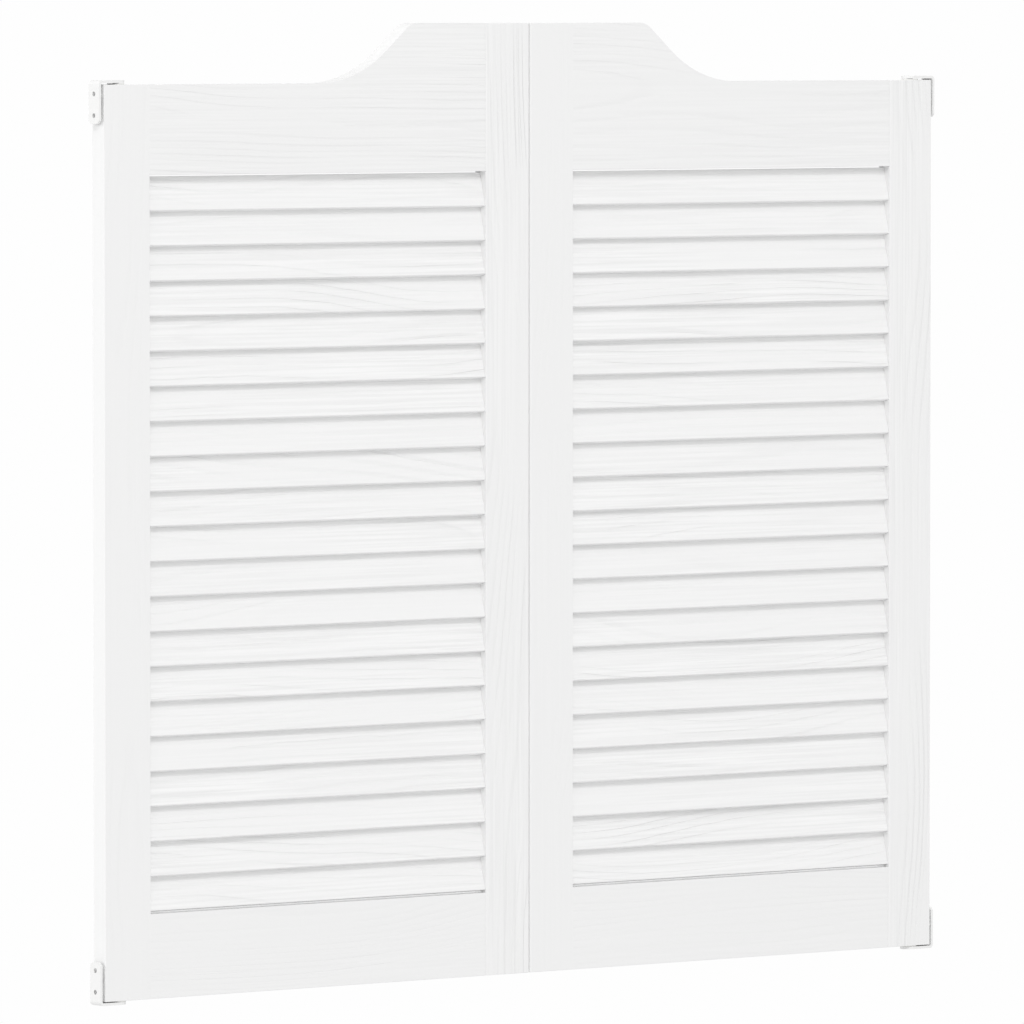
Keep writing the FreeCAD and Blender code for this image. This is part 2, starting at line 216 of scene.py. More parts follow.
@dataclass(frozen=True)
class PaintedWood:
    """White paint over pine whose open grain still shows as fine grooves.

    A pace stretches a pattern along, across and into the board. A range is the part of a noise that is
    spread from none to full.
    """

    name: str
    grain: Grain
    colour: Triple = (0.85, 0.85, 0.849)
    roughness: float = 0.48
    roughness_spread: float = 0.08
    ring_spacing: float = 5.5 * MM
    heart_depth: float = 34.0 * MM
    heart_sway: float = 60.0 * MM
    heart_reach: float = 70.0 * MM
    groove_share: float = 0.30
    # Painted shade: how much darker the paint is made in the grain's grooves and furrows, as if shaded by the
    # relief.
    groove_shade: float = 0.018
    fibre_shade: float = 0.040
    fibre_share: float = 0.12
    relief: float = 0.28 * MM
    sway_scale: float = 1.7
    sway_pace: Triple = (1.0, 3.0, 1.0)
    rise_scale: float = 2.3
    rise_place: float = 7.3
    raggedness: float = 0.30
    ragged_pace: Triple = (22.0, 160.0, 1.0)
    ring_least: float = 0.25
    ring_reach: float = 0.9
    patch_pace: Triple = (5.0, 22.0, 1.0)
    patch_range: Pair = (0.34, 0.60)
    strand_pace: Triple = (6.0, 400.0, 150.0)
    strand_detail: float = 3.0
    strand_range: Pair = (0.32, 0.68)
    broad_pace: Triple = (3.0, 14.0, 0.0)
    broad_place: Triple = (0.0, 0.0, 3.1)
    broad_range: Pair = (0.35, 0.65)
    least_fibre: float = 0.2

    def make(self) -> Material:
        """Builds the material.

        Returns:
            A material that reads object coordinates and each piece's own grain shift.
        """
        material, graph, shader = new_material(self.name)
        strength = graph.add("ShaderNodeAttribute", attribute_name=GRAIN_STRENGTH).outputs["Fac"]
        groove, fibre = (graph.math("MULTIPLY", part, strength) for part in self.grain_fields(graph))
        # Painted shade: the colour is darker in the grooves and furrows and lighter on the ridges between the
        # furrows, where the relief would be shaded and lit.
        shade = graph.math("MULTIPLY_ADD", groove, -self.groove_shade, 1.0)
        shade = graph.math("MULTIPLY_ADD", fibre, -self.fibre_shade, shade)
        graph.put(shader.inputs["Base Color"], graph.tint(self.colour, shade))
        rough = graph.math("MULTIPLY_ADD", fibre, self.roughness_spread, self.roughness)
        graph.put(shader.inputs["Roughness"], rough)
        height = graph.math("MULTIPLY_ADD", groove, -1.0, graph.math("MULTIPLY", fibre, -self.fibre_share))
        graph.relief(shader, height, self.relief)
        return material

    def board(self, graph: Graph) -> Socket:
        """The place along, across and into the board, shifted so that no two boards match.

        Args:
            graph: The material's graph.

        Returns:
            The place's socket, in metres.
        """
        place = graph.add("ShaderNodeTexCoord").outputs["Object"]
        shift = graph.add("ShaderNodeAttribute", attribute_name=GRAIN_SHIFT).outputs["Vector"]
        moved = graph.add("ShaderNodeVectorMath", {0: place, 1: shift}, operation="ADD").outputs[0]
        x, y, z = graph.add("ShaderNodeSeparateXYZ", {0: moved}).outputs
        return graph.vector(x, z, y) if self.grain is Grain.LEVEL else graph.vector(z, x, y)

    def rings(self, graph: Graph, board: Socket) -> Socket:
        """Counts the growth rings out from a heart that wanders behind the board.

        Args:
            graph: The material's graph.
            board: The place on the board.

        Returns:
            The socket of the count, with its fraction.
        """
        along, across, deep = graph.add("ShaderNodeSeparateXYZ", {0: board}).outputs
        aside = graph.noise(graph.spot(board, self.sway_pace), self.sway_scale, 1.0)
        below = graph.noise(graph.vector(deep, along, self.rise_place), self.rise_scale, 1.0)
        sway, rise = (graph.math("SUBTRACT", part, 0.5) for part in (aside, below))
        swayed = graph.math("MULTIPLY_ADD", sway, self.heart_sway * 2.0, across)
        wrapped = graph.math("WRAP", swayed, self.heart_reach, -self.heart_reach)
        under = graph.math("MULTIPLY_ADD", rise, self.heart_depth, self.heart_depth)
        squares = (graph.math("POWER", part, 2.0) for part in (wrapped, under))
        radius = graph.math("SQRT", graph.math("ADD", *squares))
        ragged = graph.noise(graph.spot(board, self.ragged_pace), 1.0)
        even = graph.math("DIVIDE", radius, self.ring_spacing)
        return graph.math("MULTIPLY_ADD", ragged, self.raggedness, even)

    def grain_fields(self, graph: Graph) -> tuple[Socket, Socket]:
        """Grooves at the growth rings and the fine furrows between them.

        Args:
            graph: The material's graph.

        Returns:
            Sockets of the grooves' depth, from 0 to 1, and of the furrows' depth, from -0.5 to 0.5.
        """
        board = self.board(graph)
        rings = self.rings(graph, board)
        phase = graph.math("FRACT", rings)
        late = graph.spread(phase, 1.0 - self.groove_share, 1.0)
        early = graph.spread(phase, 0.0, self.groove_share * 0.5, 1.0, 0.0)
        number = graph.math("FLOOR", graph.math("ADD", rings, self.groove_share))
        own = graph.add("ShaderNodeTexWhiteNoise", {"W": number}, noise_dimensions="1D").outputs["Value"]
        strength = graph.math("MULTIPLY_ADD", own, self.ring_reach, self.ring_least)
        line = graph.math("MULTIPLY", graph.math("MAXIMUM", late, early), strength)
        shown = graph.spread(graph.noise(graph.spot(board, self.patch_pace), 1.0), *self.patch_range)
        strands = graph.noise(graph.spot(board, self.strand_pace), 1.0, self.strand_detail)
        furrows = graph.math("SUBTRACT", graph.spread(strands, *self.strand_range), 0.5)
        broad = graph.noise(graph.spot(board, self.broad_pace, self.broad_place), 1.0)
        fibre = graph.math("MULTIPLY", furrows, graph.spread(broad, *self.broad_range, self.least_fibre))
        return graph.math("MULTIPLY", line, shown), fibre


@dataclass(frozen=True)
class PlainFinish:
    """A metal or moulded finish with a fine even texture."""

    name: str
    colour: Triple
    roughness: float
    metallic: float = 0.0
    texture_scale: float = 900.0
    coarse_step: float = 6.0
    relief: float = 0.01 * MM
    mottle: float = 0.04
    roughness_spread: float = 0.12
    stretch: Triple = (1.0, 1.0, 1.0)

    def make(self) -> Material:
        """Builds the material.

        Returns:
            The material, read in object coordinates.
        """
        material, graph, shader = new_material(self.name)
        shader.inputs["Metallic"].default_value = self.metallic
        place = graph.spot(graph.add("ShaderNodeTexCoord").outputs["Object"], self.stretch)
        coarse = graph.noise(place, self.texture_scale / self.coarse_step)
        shade = graph.math("MULTIPLY_ADD", coarse, self.mottle, 1.0 - self.mottle)
        graph.put(shader.inputs["Base Color"], graph.tint(self.colour, shade))
        rough = graph.math("MULTIPLY_ADD", coarse, self.roughness_spread, self.roughness)
        graph.put(shader.inputs["Roughness"], rough)
        graph.relief(shader, graph.noise(place, self.texture_scale), self.relief)
        return material


# ---- meshes


def new_object(name: str, data: bpy.types.ID) -> Piece:
    """A linked object at the origin. A mesh holds the place of its piece in its vertices.

    Args:
        name: The object's name.
        data: Its mesh, lamp or camera.

    Returns:
        The linked object.
    """
    piece = bpy.data.objects.new(name, data)
    bpy.context.scene.collection.objects.link(piece)
    return piece


def mesh_from(name: str, build: Callable[[Work], None]) -> bpy.types.Mesh:
    """A mesh made by a function on a bmesh, with its faces outward.

    Args:
        name: The mesh's name.
        build: Fills the empty bmesh.

    Returns:
        The mesh.
    """
    work = bmesh.new()
    build(work)
    bmesh.ops.recalc_face_normals(work, faces=work.faces)
    mesh = bpy.data.meshes.new(name)
    work.to_mesh(mesh)
    work.free()
    return mesh


def add_box(work: Work, corner: Triple, opposite: Triple) -> list[Edge]:
    """Adds a box.

    Args:
        work: The mesh to add to.
        corner: One corner.
        opposite: The corner opposite to it.

    Returns:
        The box's edges.
    """
    size = [abs(b - a) for a, b in zip(corner, opposite)]
    middle = [(a + b) / 2.0 for a, b in zip(corner, opposite)]
    place = Matrix.Translation(middle) @ Matrix.Diagonal((*size, 1.0))
    made = bmesh.ops.create_cube(work, size=1.0, matrix=place)["verts"]
    return [edge for edge in work.edges if edge.verts[0] in made]


def add_prism(work: Work, outline: Sequence[Vector], axis: int, at: float) -> None:
    """Adds a solid between an outline and its copy on a plane across an axis.

    Args:
        work: The mesh to add to.
        outline: The outline's points, in order.
        axis: 0, 1 or 2 for the axis.
        at: Where the plane lies on it.
    """
    face = work.faces.new([work.verts.new(point) for point in outline])
    made = bmesh.ops.extrude_face_region(work, geom=[face], use_keep_orig=True)["geom"]
    for vert in (item for item in made if isinstance(item, bmesh.types.BMVert)):
        vert.co[axis] = at


def ease(work: Work, edges: list[Edge], radius: float) -> None:
    """Rounds edges.

    Args:
        work: The mesh.
        edges: Its edges to round.
        radius: The radius in metres.
    """
    bmesh.ops.bevel(
        work, geom=edges, offset=radius, offset_type="OFFSET", segments=EASE_STEPS,
        profile=0.5, affect="EDGES", clamp_overlap=False,
    )


def cut_across(work: Work, axis: int, at: float) -> None:
    """Divides every face that a plane across an axis passes through.

    Args:
        work: The mesh to divide.
        axis: 0, 1 or 2 for the axis.
        at: Where the plane lies on it.
    """
    place, normal = [0.0, 0.0, 0.0], [0.0, 0.0, 0.0]
    place[axis], normal[axis] = at, 1.0
    everything = [*work.verts, *work.edges, *work.faces]
    bmesh.ops.bisect_plane(work, geom=everything, dist=CUT_REACH, plane_co=place, plane_no=normal)


def edge_runs(edge: Edge, axis: int) -> bool:
    """True if the edge runs along that axis."""
    step = edge.verts[1].co - edge.verts[0].co
    return abs(step[axis]) > PARALLEL * step.length


def bake(piece: Piece) -> None:
    """Turns a piece with modifiers into the plain mesh that they give, with no modifier left.

    Args:
        piece: The object with its modifiers.
    """
    graph = bpy.context.evaluated_depsgraph_get()
    result = bpy.data.meshes.new_from_object(piece.evaluated_get(graph), depsgraph=graph)
    result.name = piece.name
    piece.modifiers.clear()
    old = piece.data
    piece.data = result
    bpy.data.meshes.remove(old)


def cut_or_join(piece: Piece, tool: bpy.types.Mesh, operation: str) -> None:
    """Cuts a tool from a piece, or joins it on.

    Args:
        piece: The object to change.
        tool: The mesh that cuts or joins. It is then removed.
        operation: DIFFERENCE or UNION.
    """
    helper = new_object(tool.name, tool)
    modifier = piece.modifiers.new(operation.lower(), "BOOLEAN")
    modifier.operation = operation
    modifier.solver = "EXACT"
    modifier.object = helper
    bake(piece)
    bpy.data.objects.remove(helper)
    bpy.data.meshes.remove(tool)


class Recipe(Graph):
    """A geometry tree with a named input for each of its values, run once on a piece."""

    def __init__(self, name: str, values: dict[str, Any]) -> None:
        """Starts the tree.

        Args:
            name: The tree's name.
            values: What each input is set to, by its name. Finish is the material.
        """
        super().__init__(bpy.data.node_groups.new(name, "GeometryNodeTree"))
        self.values = values
        kinds = {label: SOCKET_KINDS[type(value).__name__] for label, value in values.items()}
        for label, kind in {"Geometry": "Geometry", **kinds}.items():
            self.tree.interface.new_socket(name=label, in_out="INPUT", socket_type=f"NodeSocket{kind}")
        self.tree.interface.new_socket(name="Geometry", in_out="OUTPUT", socket_type="NodeSocketGeometry")
        self.given = self.add("NodeGroupInput").outputs

    def sweep(self, path: Socket, section: Socket) -> Socket:
        """A closed bar whose section stays level along its path.

        Args:
            path: The path's curve.
            section: The section's curve.

        Returns:
            The bar's socket.
        """
        level = self.add("GeometryNodeSetCurveNormal", {"Curve": path}, mode="Z_UP").outputs[0]
        sizes = {"Curve": level, "Profile Curve": section, "Fill Caps": True}
        return self.add("GeometryNodeCurveToMesh", sizes).outputs[0]

    def run(self, piece: Piece, made: Socket) -> None:
        """Ends the tree in real meshes with their finish, and keeps what it gives as a piece's mesh.

        Args:
            piece: The object that the tree stands on. The tree is then removed.
            made: The socket of what the tree makes.
        """
        whole = self.add("GeometryNodeRealizeInstances", {"Geometry": made}).outputs[0]
        dressed = self.add("GeometryNodeSetMaterial", {"Geometry": whole, "Material": self.given["Finish"]})
        self.add("NodeGroupOutput", {0: dressed.outputs[0]})
        modifier = piece.modifiers.new(self.tree.name, "NODES")
        modifier.node_group = self.tree
        for item in self.tree.interface.items_tree:
            if item.in_out == "INPUT" and item.name in self.values:
                modifier[item.identifier] = self.values[item.name]
        bake(piece)
        bpy.data.node_groups.remove(self.tree)


def finish_piece(
    piece: Piece, material: Material, body: str | None, nodes: Sequence[str],
    grain: tuple[Vector, float] | None = None,
) -> None:
    """Gives a piece its shading, finish and body, in place of the nodes that it stands for.

    Args:
        piece: The finished mesh object.
        material: Its finish.
        body: The body that it rides, or None where it rides none.
        nodes: The nodes that it stands for.
        grain: Its grain's shift and strength, or None where it has none or its mesh carries them.
    """
    mesh = piece.data
    mesh.materials.clear()
    mesh.materials.append(material)
    mesh.polygons.foreach_set("material_index", [0] * len(mesh.polygons))
    mesh.shade_smooth()
    mesh.set_sharp_from_angle(angle=SMOOTH_ANGLE)
    if grain is not None:
        shifts = mesh.attributes.new(GRAIN_SHIFT, "FLOAT_VECTOR", "POINT")
        shifts.data.foreach_set("vector", list(grain[0]) * len(mesh.vertices))
        strengths = mesh.attributes.new(GRAIN_STRENGTH, "FLOAT", "POINT")
        strengths.data.foreach_set("value", [grain[1]] * len(mesh.vertices))
    evened = piece.modifiers.new("evened", "WEIGHTED_NORMAL")
    evened.keep_sharp = True
    bake(piece)
    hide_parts(*nodes)
    if body is not None:
        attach(piece, body)
    log.info("%s: %d faces, rides %s", piece.name, len(piece.data.polygons), body or "two bodies")


def pivot_of(body: str) -> list[float]:
    """A point on the axis about which a body turns."""
    return next(joint for joint in frame["joints"] if joint["child"] == body)["pos_m"]


# ---- louvre


@dataclass
class Louvre:
    """The fixed slats of one leaf, set between its stiles."""

    side: Side
    material: Material
    thickness: float = 7.0 * MM
    edge_radius: float = 0.7 * MM
    edge_steps: int = 6
    slot_clearance: float = 0.1 * MM
    slot_spare: float = 0.5 * MM
    housing: float = 8.0 * MM
    shift_reach: Triple = (4.0, 0.02, 4.0)
    strength_range: Pair = (0.35, 1.35)
    seed: int = 11
    lean_step: float = 1e-9
    names: list[str] = field(init=False)

    def __post_init__(self) -> None:
        """Takes the slats' count, pitch, lean and width from the frame's nodes."""
        start = f"{self.side.value}_slat_"
        self.names = sorted(name for name in frame["nodes"] if name.startswith(start))
        first_low, first_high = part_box(self.names[0])
        _, last_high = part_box(self.names[-1])
        self.count = len(self.names)
        self.pitch = (first_high[2] - last_high[2]) / (self.count - 1)
        self.first_height = (first_low[2] + first_high[2]) / 2.0
        self.span = (first_low[0], first_high[0])
        self.depth = first_high[1] - first_low[1]
        self.lean = self.find_lean(first_high[2] - first_low[2])

    def find_lean(self, height: float) -> float:
        """Works out how far the slats lean back, and their width.

        Args:
            height: Height that one slat takes.

        Returns:
            The lean in radians.
        """
        low, high = 0.0, math.pi / 4.0
        edge = 2.0 * self.edge_radius
        while high - low > self.lean_step:
            lean = (low + high) / 2.0
            self.width = (height - edge) / math.cos(lean) + edge
            self.width -= (self.thickness - edge) * math.tan(lean)
            core = (self.width - edge) * math.sin(lean)
            core += (self.thickness - edge) * math.cos(lean) + edge
            low, high = (lean, high) if core < self.depth else (low, lean)
        return low

    def bars(self, name: str, span: Pair, grow: float) -> tuple[Recipe, Socket]:
        """Starts a tree with leaning bars that have rounded edges, one below the other.

        Args:
            name: The tree's name.
            span: Where the bars start and end along the leaf.
            grow: How much larger than a slat each bar is, all round.

        Returns:
            The tree and the socket of its bars, as instances.
        """
        recipe = Recipe(name, {
            "Count": self.count, "Pitch": self.pitch, "First Height": self.first_height,
            "Start": span[0], "End": span[1], "Width": self.width + 2.0 * grow,
            "Thickness": self.thickness + 2.0 * grow, "Edge Radius": self.edge_radius + grow,
            "Lean": self.lean, "Seed": self.seed, "Finish": self.material,
        })
        given = recipe.given
        sizes = {"Width": given["Thickness"], "Height": given["Width"]}
        outline = recipe.add("GeometryNodeCurvePrimitiveQuadrilateral", sizes).outputs[0]
        corners = {"Curve": outline, "Count": self.edge_steps, "Radius": given["Edge Radius"]}
        rounded = recipe.add("GeometryNodeFilletCurve", corners, mode="POLY").outputs[0]
        ends = {label: recipe.vector(given[label], 0.0, 0.0) for label in ("Start", "End")}
        line = recipe.add("GeometryNodeCurvePrimitiveLine", ends).outputs[0]
        bar = recipe.sweep(line, rounded)
        turn = recipe.vector(recipe.math("MULTIPLY", given["Lean"], -1.0), 0.0, 0.0)
        leaning = recipe.add("GeometryNodeTransform", {"Geometry": bar, "Rotation": turn}).outputs[0]
        step = recipe.vector(0.0, 0.0, recipe.math("MULTIPLY", given["Pitch"], -1.0))
        top = recipe.vector(0.0, 0.0, given["First Height"])
        row = {"Count": given["Count"], "Start Location": top, "Offset": step}
        points = recipe.add("GeometryNodeMeshLine", row).outputs[0]
        placed = recipe.add("GeometryNodeInstanceOnPoints", {"Points": points, "Instance": leaning})
        return recipe, placed.outputs[0]

    def cut_slots(self, stile: Piece, inner_x: float, into: float) -> None:
        """Cuts the slats' slots into a stile.

        Args:
            stile: The stile's object.
            inner_x: Where its inner side face lies.
            into: Which way the stile lies from there, +1 or -1.
        """
        deep = inner_x + into * (self.housing + self.slot_spare)
        clear = inner_x - into * self.housing
        recipe, bars = self.bars("slot_cuts", (min(deep, clear), max(deep, clear)), self.slot_clearance)
        solid = recipe.add("GeometryNodeRealizeInstances", {"Geometry": bars}).outputs[0]
        both = {"Mesh 1": recipe.given["Geometry"], "Mesh 2": solid}
        slotted = recipe.add("GeometryNodeMeshBoolean", both, operation="DIFFERENCE", solver="EXACT")
        recipe.run(stile, slotted.outputs[0])

    def build(self, body: str) -> None:
        """Makes all slats of the leaf as one piece, each with its own grain.

        Args:
            body: The body that they ride.
        """
        recipe, bars = self.bars("slat_set", self.span, 0.0)
        least = tuple(-reach for reach in self.shift_reach)
        for name, kind, low, high in (
            (GRAIN_SHIFT, "FLOAT_VECTOR", least, self.shift_reach),
            (GRAIN_STRENGTH, "FLOAT", *self.strength_range),
        ):
            node = recipe.add("FunctionNodeRandomValue", data_type=kind)
            for label, value in (("Min", low), ("Max", high), ("Seed", recipe.given["Seed"])):
                recipe.put(next(item for item in node.inputs if item.enabled and item.name == label), value)
            drawn = next(item for item in node.outputs if item.enabled)
            stored = {"Geometry": bars, "Name": name, "Value": drawn}
            settings = {"data_type": kind, "domain": "INSTANCE"}
            bars = recipe.add("GeometryNodeStoreNamedAttribute", stored, **settings).outputs[0]
        piece = new_object(f"{self.side.value}_slats", bpy.data.meshes.new("slats"))
        recipe.run(piece, bars)
        finish_piece(piece, self.material, body, self.names)


# ---- leaf


@dataclass
class Leaf:
    """Stiles and rails of one leaf, round its louvre.

    Its joints are those at the hinge stile and at the meeting stile: where they lie, which way the stile
    lies from there, +1 or -1, and the height of its upper end. Those with the stile on the right are open.
    """

    side: Side
    upright_finish: Material
    level_finish: Material
    slat_finish: Material
    arris: float = 0.6 * MM
    meeting_arris: float = 1.8 * MM
    open_mouth_arris: float = 1.5 * MM
    joint_width: float = 2.5 * MM
    open_joint_dip: float = 0.75 * MM
    tight_joint_dip: float = 0.06 * MM
    tenon_length: float = 20.0 * MM
    tenon_half: float = 3.0 * MM
    tenon_inset: float = 12.0 * MM
    tenon_clearance: float = 0.1 * MM
    mortise_spare: float = 1.0 * MM
    bore_radius: float = 6.75 * MM
    bore_steps: int = 64
    bore_spare: float = 2.0 * MM
    lower_housing: float = 32.0 * MM
    upper_housing: float = 20.0 * MM
    crest_flat: float = 134.2 * MM
    concave_radius: float = 122.0 * MM
    convex_radius: float = 20.0 * MM
    sweep: float = math.radians(40.5)
    arc_steps: int = 28
    mouth_steps: int = 6
    shift_reach: Triple = (4.0, 0.01, 4.0)

    def __post_init__(self) -> None:
        """Takes the leaf's outline from the frame."""
        name = self.side.value
        inner = 1 if self.side is Side.LEFT else 0
        self.body = f"{name}_leaf"
        self.towards_middle = 1.0 if self.side is Side.LEFT else -1.0
        hinge_low, hinge_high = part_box(f"{name}_hinge_stile")
        meeting_low, meeting_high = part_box(f"{name}_meeting_stile")
        bottom_low, bottom_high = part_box(f"{name}_bottom_rail")
        top_low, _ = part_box(f"{name}_top_rail")
        self.half = (bottom_high[1] - bottom_low[1]) / 2.0
        hinge_x = (hinge_low[0], hinge_high[0])
        meeting_x = (meeting_low[0], meeting_high[0])
        self.bottom = round(bottom_low[2], 5)
        self.shoulder = round(hinge_high[2], 4)
        self.crest = round(meeting_high[2], 5)
        self.bottom_rail_top = bottom_high[2]
        self.top_rail_bottom = round(top_low[2], 5)
        self.joints = (
            (hinge_x[inner], -self.towards_middle, self.shoulder),
            (meeting_x[1 - inner], self.towards_middle, self.crest),
        )
        self.outer_x = (hinge_x[1 - inner], meeting_x[inner])
        self.louvre = Louvre(self.side, self.slat_finish)
        self.shifts = random.Random(BOARD_SEEDS[self.side])

    def next_shift(self) -> Vector:
        """A grain shift for the next board."""
        return Vector([self.shifts.uniform(-reach, reach) for reach in self.shift_reach])

    def finish(self, piece: Piece, material: Material, slot: str) -> None:
        """Finishes a board, which stands for the node of its own name less the word board."""
        node = piece.name.removesuffix("_board")
        finish_piece(piece, material, self.body, [node], (self.next_shift(), BOARD_STRENGTHS[node]))

    def stile(self, hinged: bool) -> None:
        """Makes one stile with rounded arrises, slots, mortises and bores.

        Args:
            hinged: True for the hinge stile, which has the bores, and False for the meeting stile.
        """
        name = f"{self.side.value}_{'hinge' if hinged else 'meeting'}_stile"
        index = 0 if hinged else 1
        inner_x, away, top = self.joints[index]
        opening = (self.bottom_rail_top - self.arris, self.top_rail_bottom + self.arris)
        radius = self.open_mouth_arris if away > 0.0 else self.arris

        def blank(work: Work) -> None:
            """Makes the board, its arrises rounded and its joint edge drawn in.

            Args:
                work: The mesh to fill.
            """
            add_box(work, (inner_x, -self.half, self.bottom), (self.outer_x[index], self.half, top))
            cut_across(work, 0, inner_x + away * self.joint_width)
            if not hinged:
                tall = [edge for edge in work.edges if self.is_arris(edge, inner_x) and edge_runs(edge, 2)]
                ease(work, tall, self.meeting_arris)
            ease(work, [edge for edge in work.edges if self.is_arris(edge, inner_x)], self.arris)
            self.draw_in(work, inner_x, away)

        def mouth(work: Work) -> None:
            """Makes the two bars that round the arrises of the opening.

            Args:
                work: The mesh to fill.
            """
            for face in (-self.half, self.half):
                outward = math.copysign(1.0, face)
                beyond = (inner_x - away * radius, face + outward * radius)
                centre = Vector((inner_x + away * radius, face - outward * radius, opening[0]))
                outline = [
                    Vector((beyond[0], centre.y, centre.z)),
                    Vector((*beyond, centre.z)),
                    Vector((centre.x, beyond[1], centre.z)),
                ]
                for step in range(self.mouth_steps + 1):
                    angle = math.pi / 2.0 * step / self.mouth_steps
                    turned = Vector((-away * math.sin(angle), outward * math.cos(angle), 0.0))
                    outline.append(centre + radius * turned)
                add_prism(work, outline, 2, opening[1])

        def sockets(work: Work) -> None:
            """Makes the mortises and bores.

            Args:
                work: The mesh to fill.
            """
            deep = inner_x + away * (self.tenon_length + self.mortise_spare)
            clear = inner_x - away * self.mortise_spare
            gap = self.tenon_clearance
            half = self.tenon_half + gap
            for low, high in self.tenon_heights(top):
                add_box(work, (deep, -half, low - gap), (clear, half, high + gap))
            if not hinged:
                return
            axis_x, axis_y, _ = pivot_of(self.body)
            spare = self.bore_spare
            for low, high in (
                (self.bottom - spare, self.bottom + self.lower_housing + spare),
                (top - self.upper_housing - spare, top + spare),
            ):
                middle = Matrix.Translation((axis_x, axis_y, (low + high) / 2.0))
                bmesh.ops.create_cone(
                    work, cap_ends=True, segments=self.bore_steps, radius1=self.bore_radius,
                    radius2=self.bore_radius, depth=high - low, matrix=middle,
                )

        piece = new_object(f"{name}_board", mesh_from(name, blank))
        cut_or_join(piece, mesh_from("mouth", mouth), "DIFFERENCE")
        self.louvre.cut_slots(piece, inner_x, away)
        cut_or_join(piece, mesh_from("sockets", sockets), "DIFFERENCE")
        self.finish(piece, self.upright_finish, "stiles")

    def is_arris(self, edge: Edge, inner_x: float) -> bool:
        """True on the sharp edges of a stile's blank that lie away from its inner side face."""
        middle = (edge.verts[0].co + edge.verts[1].co) / 2.0
        return edge.calc_face_angle(0.0) > SHARP_ANGLE and abs(middle.x - inner_x) > TOUCH

    def draw_in(self, work: Work, joint_x: float, away: float) -> None:
        """Draws a board's faces in at a joint, where paint and sanding leave a shallow line.

        Args:
            work: The board's mesh.
            joint_x: Where the joint lies.
            away: Which way the stile lies from the joint, +1 or -1.
        """
        dip = self.open_joint_dip if away > 0.0 else self.tight_joint_dip
        for vert in work.verts:
            if abs(vert.co.x - joint_x) < TOUCH:
                vert.co.y *= 1.0 - dip / self.half

    def dip_ends(self, work: Work) -> None:
        """Draws a rail's faces in at both of its joints.

        Args:
            work: The rail's mesh.
        """
        for joint_x, away, _ in self.joints:
            cut_across(work, 0, joint_x - away * self.joint_width)
            self.draw_in(work, joint_x, away)

    def tenon_heights(self, top: float) -> list[Pair]:
        """Heights between which the two rails' tenons lie in a stile.

        Args:
            top: Height of the stile's upper end.

        Returns:
            The lower and the upper tenon's heights.
        """
        return [
            (self.bottom + self.tenon_inset, self.bottom_rail_top - self.tenon_inset),
            (self.top_rail_bottom + self.tenon_inset, top - self.tenon_inset),
        ]

    def tenons(self, index: int) -> bpy.types.Mesh:
        """The two tenons of a rail.

        Args:
            index: 0 for the bottom rail and 1 for the top rail.

        Returns:
            A mesh of two boxes that reach a little into the rail.
        """

        def build(work: Work) -> None:
            """Makes one box for each end of the rail.

            Args:
                work: The mesh to fill.
            """
            for inner_x, out, top in self.joints:
                low, high = self.tenon_heights(top)[index]
                reach = inner_x + out * self.tenon_length
                root = inner_x - out * self.mortise_spare
                add_box(work, (reach, -self.tenon_half, low), (root, self.tenon_half, high))

        return mesh_from("tenons", build)

    def crest_outline(self) -> list[Vector]:
        """Upper edge of the top rail, from the hinge stile to the meeting stile.

        Returns:
            Points on the leaf's front face.
        """
        rise = self.crest - self.shoulder
        arcs_rise = (self.concave_radius + self.convex_radius) * (1.0 - math.cos(self.sweep))
        ramp = (rise - arcs_rise) / math.sin(self.sweep)
        points = [(self.crest_flat, self.crest)]
        for step in range(1, self.arc_steps + 1):
            angle = self.sweep * step / self.arc_steps
            points.append((
                self.crest_flat + self.convex_radius * math.sin(angle),
                self.crest - self.convex_radius * (1.0 - math.cos(angle)),
            ))
        foot_x = points[-1][0] + ramp * math.cos(self.sweep)
        foot_z = points[-1][1] - ramp * math.sin(self.sweep)
        centre_x = foot_x + self.concave_radius * math.sin(self.sweep)
        centre_z = foot_z + self.concave_radius * math.cos(self.sweep)
        for step in range(self.arc_steps + 1):
            angle = self.sweep * (1.0 - step / self.arc_steps)
            points.append((
                centre_x - self.concave_radius * math.sin(angle),
                centre_z - self.concave_radius * math.cos(angle),
            ))
        curve = [Vector((self.outer_x[1] - self.towards_middle * x, -self.half, z)) for x, z in points]
        start, end = (Vector((joint_x, -self.half, top)) for joint_x, _, top in self.joints)
        return [start, *reversed(curve), end]

    def top_rail(self) -> None:
        """Makes the top rail with its swept crest."""
        ends = [joint_x for joint_x, _, _ in self.joints]
        low = [Vector((x, -self.half, self.top_rail_bottom)) for x in reversed(ends)]

        def build(work: Work) -> None:
            """Makes the outline, thickened and rounded.

            Args:
                work: The mesh to fill.
            """
            add_prism(work, self.crest_outline() + low, 1, self.half)
            eased = [
                edge for edge in work.edges
                if not edge_runs(edge, 1)
                and not (edge_runs(edge, 2) and min(abs(edge.verts[0].co.x - x) for x in ends) < TOUCH)
            ]
            ease(work, eased, self.arris)
            self.dip_ends(work)

        piece = new_object(f"{self.side.value}_top_rail_board", mesh_from("top_rail", build))
        cut_or_join(piece, self.tenons(1), "UNION")
        self.finish(piece, self.level_finish, "rails")

    def bottom_rail(self) -> None:
        """Makes the bottom rail."""

        def build(work: Work) -> None:
            """Makes the board.

            Args:
                work: The mesh to fill.
            """
            start, end = (joint_x for joint_x, _, _ in self.joints)
            top = self.bottom_rail_top
            edges = add_box(work, (start, -self.half, self.bottom), (end, self.half, top))
            ease(work, [edge for edge in edges if edge_runs(edge, 0)], self.arris)
            self.dip_ends(work)

        piece = new_object(f"{self.side.value}_bottom_rail_board", mesh_from("bottom_rail", build))
        cut_or_join(piece, self.tenons(0), "UNION")
        self.finish(piece, self.level_finish, "rails")

